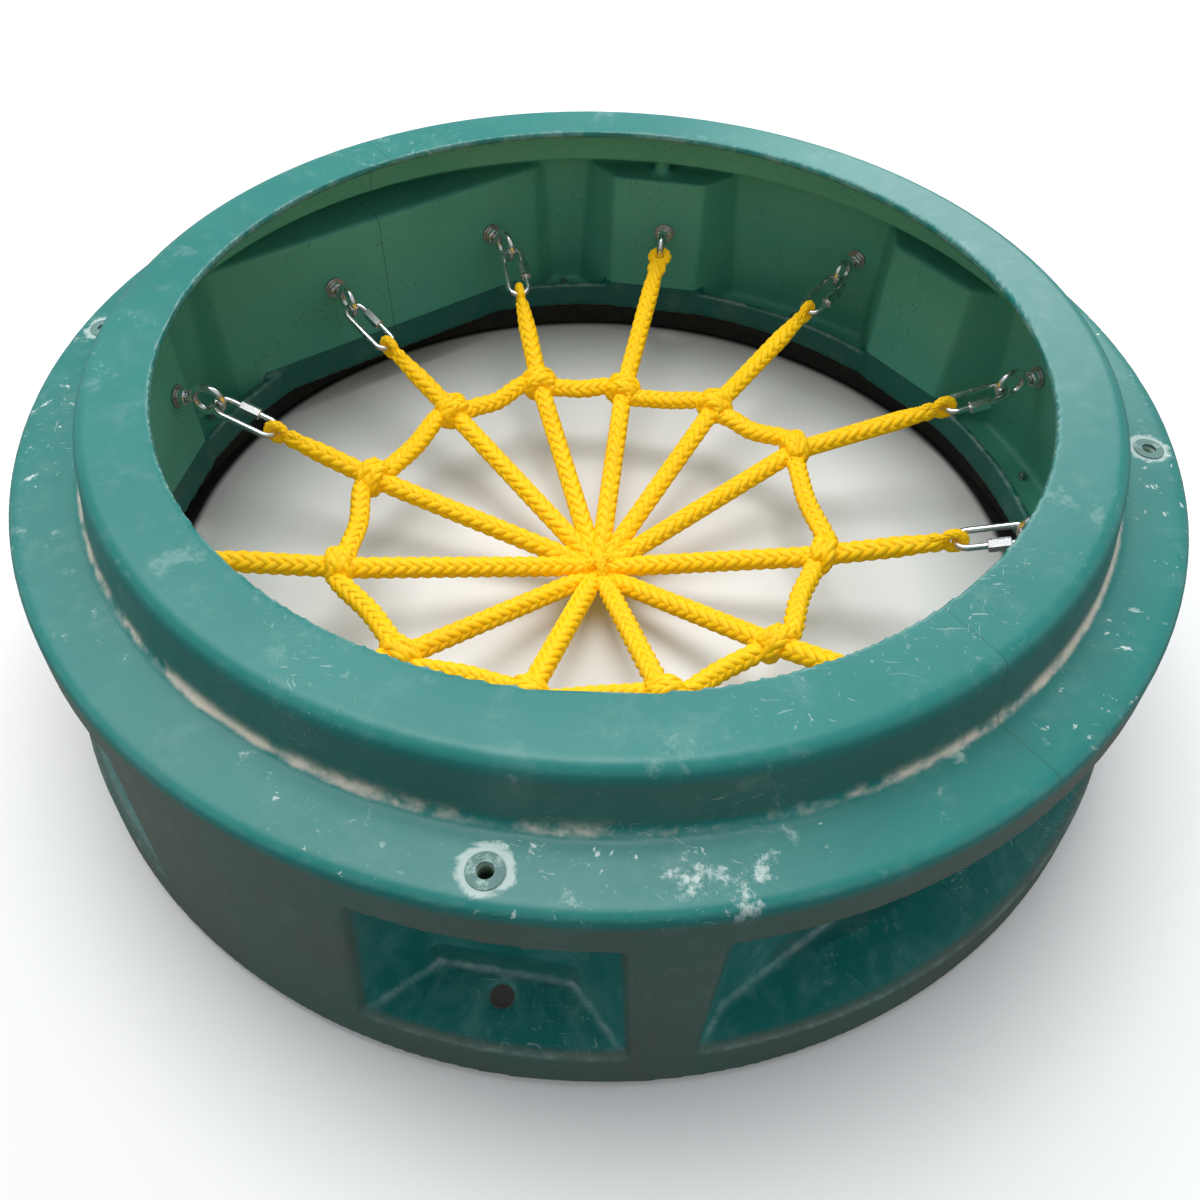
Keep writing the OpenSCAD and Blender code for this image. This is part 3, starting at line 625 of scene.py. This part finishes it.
# true where a point lies in the open space inside the drum
def inHollow(points):
    r = np.hypot(points[:, 0], points[:, 1])
    z = points[:, 2]
    mid = place["wall"] / 2
    inside = (z > plateZ - 2) & (z < rimZ - 5) & (r < wallRadius(z) - mid)
    step = place["rimR"] + (place["stepR"] - place["rimR"]) * (rimZ - z) / place["stepH"]
    inside &= (r < step - mid) | (z < shelfZ - 5)
    inside &= (r > place["wellR"]) | (z < rimZ - 12)
    for k in range(8):
        a = math.radians(place["firstPocket"] + place["pocketTurn"] * k)
        u = points[:, 0] * math.cos(a) + points[:, 1] * math.sin(a)
        v = np.abs(points[:, 1] * math.cos(a) - points[:, 0] * math.sin(a))
        kind = "wide" if k % 4 == 2 else "narrow"
        back = place[kind + "Back"]
        backHalf = place[kind + "BackHalf"]
        mouthHalf = place[kind + "MouthHalf"]
        mouth = math.sqrt(wallRadius(floorZ) ** 2 - mouthHalf ** 2)
        half = backHalf + (mouthHalf - backHalf) * np.clip((u - back) / (mouth - back), 0, 2)
        pocket = (u > back - mid) & (v < half + mid) & (z > floorZ - mid) & (z < ceilingZ + mid)
        inside &= ~pocket
    return inside


# true on the smooth band that the net's well ends in
def onBand(points):
    r = np.hypot(points[:, 0], points[:, 1])
    return (r < place["bandR"]) & (points[:, 2] < plateZ + place["bandHeight"])


def buildDrum():
    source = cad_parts["drum_shell"]
    mesh = source.data.copy()
    obj = bpy.data.objects.new("drumBody", mesh)
    bpy.context.scene.collection.objects.link(obj)
    weld = obj.modifiers.new("weld", "WELD")
    weld.merge_threshold = 0.00002
    remesh = obj.modifiers.new("remesh", "REMESH")
    remesh.mode = "VOXEL"
    remesh.voxel_size = drum["voxel"]
    graph = bpy.context.evaluated_depsgraph_get()
    mesh = bpy.data.meshes.new_from_object(obj.evaluated_get(graph))
    obj.modifiers.clear()
    obj.data = mesh
    count = len(mesh.vertices)
    co = np.empty(count * 3, np.float32)
    mesh.vertices.foreach_get("co", co)
    co = co.reshape(-1, 3).astype(np.float64)
    edges = np.empty(len(mesh.edges) * 2, np.int32)
    mesh.edges.foreach_get("vertices", edges)
    edges = edges.reshape(-1, 2)
    degree = np.bincount(edges.ravel(), minlength=count).astype(float)[:, None]
    r = np.hypot(co[:, 0], co[:, 1]) / millimetre
    z = co[:, 2] / millimetre
    # the lip round the well and the band's upper edge stay crisp
    keep = np.clip((r - 452) / 10, 0.12, 1)
    bandEdge = np.clip(np.abs(z - (plateZ + 38)) / 8, 0.2, 1)
    keep = np.minimum(keep, np.where(r < place["bandR"], bandEdge, 1))
    keep = np.minimum(keep, np.clip((z - place["ground"]) / 10 + 0.2, 0.2, 1))[:, None]
    for i in range(drum["smoothing"]):
        for amount in (drum["inflate"], drum["deflate"]):
            total = np.zeros_like(co)
            for axis in range(3):
                total[:, axis] = (np.bincount(edges[:, 0], co[edges[:, 1], axis], count)
                                  + np.bincount(edges[:, 1], co[edges[:, 0], axis], count))
            co += amount * keep * (total / degree - co)
    mesh.vertices.foreach_set("co", co.astype(np.float32).ravel())
    mesh.update()
    faces = len(mesh.polygons)
    centre = np.empty(faces * 3, np.float32)
    normal = np.empty(faces * 3, np.float32)
    mesh.polygons.foreach_get("center", centre)
    mesh.polygons.foreach_get("normal", normal)
    centre = centre.reshape(-1, 3) / millimetre
    probe = centre + normal.reshape(-1, 3) * drum["probe"]
    mesh.materials.clear()
    mesh.materials.append(plasticOuter)
    mesh.materials.append(plasticInner)
    mesh.materials.append(plasticBand)
    index = inHollow(probe).astype(np.int32)
    index[onBand(centre)] = 2
    mesh.polygons.foreach_set("material_index", index)
    mesh.polygons.foreach_set("use_smooth", np.ones(faces, bool))
    mesh.update()
    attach(obj, "drum")
    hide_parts("drum_shell")
    return obj


buildDrum()
print("stage: drum ready")

bolt = dict(
    thread=1.75, rootR=5.35, crestR=6.0, bore=12.4, wireR=5.0, gap=0.3, washer=2.5, rubber=5.0,
    nut=10.0, lockNut=12.0, lockHex=8.4, end=5.0, flats=19.0,
    sleeve=26.0, sleeveFlats=14.0, sleeveBore=8.6, sleeveChamfer=1.8,
)


def buildHardware():
    eyes, nuts, locks = Parts(), Parts(), Parts()
    seatX = -bolt["washer"] - bolt["gap"]
    lockX = place["wall"] + bolt["gap"] + bolt["rubber"] + bolt["washer"]
    tip = lockX + bolt["lockNut"] + bolt["end"]
    for bearing in spokeAt:
        m = seatMatrix(bearing)
        a = np.linspace(0, 2 * math.pi, 48, endpoint=False)
        b = np.linspace(0, 2 * math.pi, 16, endpoint=False)
        rings = np.zeros((49, 16, 3))
        for i in range(49):
            t = a[i % 48]
            wireR = bolt["wireR"]
            reach = place["eyeR"] + wireR * np.cos(b)
            rings[i] = np.stack([
                -place["eyeStand"] + reach * math.cos(t), wireR * np.sin(b), reach * math.sin(t)], 1)
        eyes.grid(applied(m, rings))
        # collar where the shank leaves the eye, then the thread
        x0 = -place["eyeStand"] + place["eyeR"]
        outline = [(x0, 4.5), (x0 + 2, 6.6), (x0 + 5, 6.0)]
        x = x0 + 5
        while x < tip - 1.2:
            outline += [(x, bolt["rootR"]), (x + bolt["thread"] * 0.5, bolt["crestR"])]
            x += bolt["thread"]
        outline += [(tip - 1.0, 5.4), (tip, 4.4), (tip, 0.01)]
        turned(eyes, m, outline, 20)
        hexNut(nuts, m, seatX - bolt["nut"], bolt["nut"], bolt["flats"], bolt["bore"])
        hexNut(locks, m, lockX, bolt["lockHex"], bolt["flats"], bolt["bore"])
        collar = [(8.2, 8.6), (10.6, 8.3), (11.8, 7.4), (12.0, 6.2)]
        turned(locks, m, [(lockX + x, r) for x, r in collar], 32)
    for parts, name, node in ((eyes, "eyeBolts", "eye_bolts"), (nuts, "wallNuts", "wall_nuts"),
                              (locks, "lockNuts", "lock_nuts")):
        obj = parts.build(name, smooth=name == "eyeBolts")
        obj.data.materials.append(steelBright)
        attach(obj, "drum")
        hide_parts(node)
    for k in range(12):
        if k == noLink:
            continue
        parts = Parts()
        leg = place["linkLength"] - place["linkWire"] - 2 * place["linkHalf"]
        x0 = place["linkIn"] + place["linkHalf"] + (leg - bolt["sleeve"]) / 2 - sleeveBack[k]
        m = spokeMatrix(k) @ Matrix.Translation((0, place["linkHalf"], 0))
        hexNut(parts, m, x0, bolt["sleeve"], bolt["sleeveFlats"], bolt["sleeveBore"], bolt["sleeveChamfer"])
        obj = parts.build(f"linkSleeve{k + 1:02d}", smooth=False)
        obj.data.materials.append(steelBright)
        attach(obj, f"spoke_{k + 1:02d}")
        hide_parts(f"link_sleeve_{k + 1:02d}")


buildHardware()
print("stage: hardware ready")

net = dict(
    spokeR=13.3, spokePull=22.0, ringR=12.9, loopR=6.1, loopPitch=44.0,
    knotReach=15.0, knotRise=14.5, knotSpread=8.0, knotR=11.0, knotPitch=76.0,
    bindR=7.2, bindPitch=52.0,
)


def finishRope(parts, name, body, *nodes):
    obj = parts.build(name)
    obj.data.materials.append(ropeYellowGlow)
    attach(obj, body)
    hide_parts(*nodes)
    return obj


def buildNet():
    middle = Parts()
    for k in range(12):
        parts = Parts()
        m = spokeMatrix(k)
        linked = k != noLink
        heldR = (place["linkWire"] if linked else place["eyeWire"]) / 2
        heldAt = place["linkIn"] + place["linkLength"] - place["linkWire"] if linked else 0.0
        loopAt = heldAt - heldR - place["loopGap"] - place["strandD"] / 2 + place["loopR"]
        # the eye spliced into the rope's end
        loop = []
        for deg in range(-128, 129, 8):
            t = math.radians(180 + deg)
            loop.append((loopAt + place["loopR"] * math.cos(t), place["loopR"] * math.sin(t)))
        entry = [(loopAt + 46, -3.0), (loopAt + 30, -5.6), (loopAt + 18, -7.6)]
        exitLeg = [(x, -y) for x, y in reversed(entry)]
        flat = entry + loop + exitLeg
        pts = [m @ (Vector((x, 0, y)) if linked else Vector((x, y, 0))) for x, y in flat]
        braid(parts, smoothPath(pts, 240), net["loopR"], phase=k * 0.7, pitch=net["loopPitch"])
        # the rope itself, from the splice through its knot to the middle of the net
        ropeFrom = loopAt + place["loopR"] + 3
        start = m @ Vector((ropeFrom, 0, 0))
        knot, end = knotPoint(k), middlePoint(k)
        toKnot, toEnd = (knot - start).normalized(), (end - knot).normalized()
        bendIn = knot - toKnot * net["spokePull"]
        bendOut = knot + toEnd * net["spokePull"]
        soft = []
        for t in np.linspace(0, 1, 9):
            soft.append(bendIn * (1 - t) ** 2 + knot * 2 * t * (1 - t) + bendOut * t ** 2)
        side = math.sin(k * 2.4) * 6
        end = end + Vector((0, 0, 8 + side))
        points = [tuple(start)] + [tuple(p) for p in soft] + [tuple(end)]
        length = (knot - start).length + (end - knot).length

        def radius(s, length=length):
            grown = min(1.0, 0.72 + 0.28 * s / 45)
            left = length - s
            drawn = min(1.0, 0.58 + 0.42 * left / 52)
            return net["spokeR"] * grown * drawn

        def outer(p, s):
            return np.hypot(p[:, 0], p[:, 1] + place["middleShift"]) >= place["middleR"]

        # the two parts share the ring of points at the cut
        def inner(p, s):
            return ~np.concatenate([outer(p, s)[1:], [False]])

        braid(parts, points, radius, phase=k * 1.1, keep=outer)
        braid(middle, points, radius, phase=k * 1.1, keep=inner)
        finishRope(parts, f"spokeRope{k + 1:02d}", f"spoke_{k + 1:02d}", f"spoke_rope_{k + 1:02d}")
    # two turns that bind the ropes where they meet
    c = Vector((0, -place["middleShift"], middleZ - 4))
    for turn, (yaw, lift) in enumerate(((0.4, 6), (1.9, 9))):
        d = Vector((math.cos(yaw), math.sin(yaw), 0))
        arch = ((-26, -6), (-14, lift + 4), (0, lift + 9), (14, lift + 4), (26, -6))
        pts = [c + d * out + Vector((0, 0, height)) for out, height in arch]
        braid(middle, smoothPath(pts, 40), net["bindR"], phase=turn, pitch=net["bindPitch"])
    finishRope(middle, "netMiddle", "net_middle", "net_middle")
    # the ring's rope passes twice over each spoke and once beneath it
    ring = Parts()
    rise = Vector((0, 0, 1))

    def hitch(k, degrees):
        at = knotPoint(k)
        inward = (middlePoint(k) - at).normalized()
        along = (knotPoint(k + 1) - knotPoint(k - 1)).normalized()
        points = []
        for degree in degrees:
            t = math.radians(degree)
            swing = net["knotSpread"] * ((180 - degree) / 270 - 1)
            points.append(at + inward * swing + along * net["knotReach"] * math.cos(t)
                          + rise * (net["knotRise"] * math.sin(t) + 1))
        return points

    for k in range(12):
        out = hitch(k, (-330, -360))
        into = hitch(k + 1, range(180, -331, -30))
        middleOf = (knotPoint(k) + knotPoint(k + 1)) / 2 - rise * (2 + 2 * math.sin(k * 1.9))
        leave, enter = out[-1], into[0]
        chord = (enter - leave).normalized()
        span = [leave + chord * 16 - rise, middleOf, enter - chord * 16 - rise]
        path = smoothPath(out + span + into, 240)
        reach = (enter - leave).length

        def thickness(s, reach=reach):
            return net["knotR"] + (net["ringR"] - net["knotR"]) * max(0.0, min(1.0, (reach + 12 - s) / 24))

        braid(ring, path, thickness, phase=k * 0.9, pitch=net["knotPitch"])
    finishRope(ring, "ringRope", "net_ring", "ring_rope")


buildNet()
print("stage: net ready")

floorHalf = 9
corners = ((-1, -1), (1, -1), (1, 1), (-1, 1))
mesh = bpy.data.meshes.new("floor")
mesh.from_pydata([(x * floorHalf, y * floorHalf, 0) for x, y in corners], [], [(0, 1, 2, 3)])
floor = bpy.data.objects.new("floor", mesh)
bpy.context.scene.collection.objects.link(floor)
n, given, result, floorGroup = newGroup("paleFloor", [
    ("Pale", "color", (0.86, 0.86, 0.85, 1)), ("Shade", "color", (0.01, 0.011, 0.01, 1)),
    ("Bounce", "color", (0.2, 0.2, 0.19, 1)), ("Seen", "float", 1.0),
    ("Ring Inside", "float", 0.52), ("Ring Outside", "float", 0.612)])
co = n.add("ShaderNodeTexCoord").outputs["Object"]
xyz = n.add("ShaderNodeSeparateXYZ", {0: co}).outputs
radius = n.length(xyz[0], xyz[1])
# painted shadow: a near-black ring of ground under the drum's edge, where its shade falls
inside = n.math("SUBTRACT", radius, n.product(n.ramp(xyz[1], -0.4, 0.4), 0.05))
drumShadowRing = n.product(n.ramp(n.math("SUBTRACT", inside, given["Ring Inside"]), -0.006, 0.006),
                 n.ramp(n.math("SUBTRACT", radius, given["Ring Outside"]), 0.004, -0.004))
pale = n.mix(drumShadowRing, given["Pale"], given["Shade"])
n.tree.links.new(n.mix(given["Seen"], given["Bounce"], pale), result["Color"])
n.tree.links.new(n.math("ADD", 0.7, n.product(n.noise(co, 30.0), 0.1)), result["Roughness"])
n.tree.links.new(n.noise(co, 200.0), result["Height"])
floorLook = surface("floorLook", floorGroup, {}, bump=0.02)
# the floor looks pale but throws little light back up on the drum
tree = floorLook.node_tree
lightPath = tree.nodes.new("ShaderNodeLightPath")
floorNode = next(node for node in tree.nodes if node.type == "GROUP")
tree.links.new(lightPath.outputs["Is Camera Ray"], floorNode.inputs["Seen"])
mesh.materials.append(floorLook)
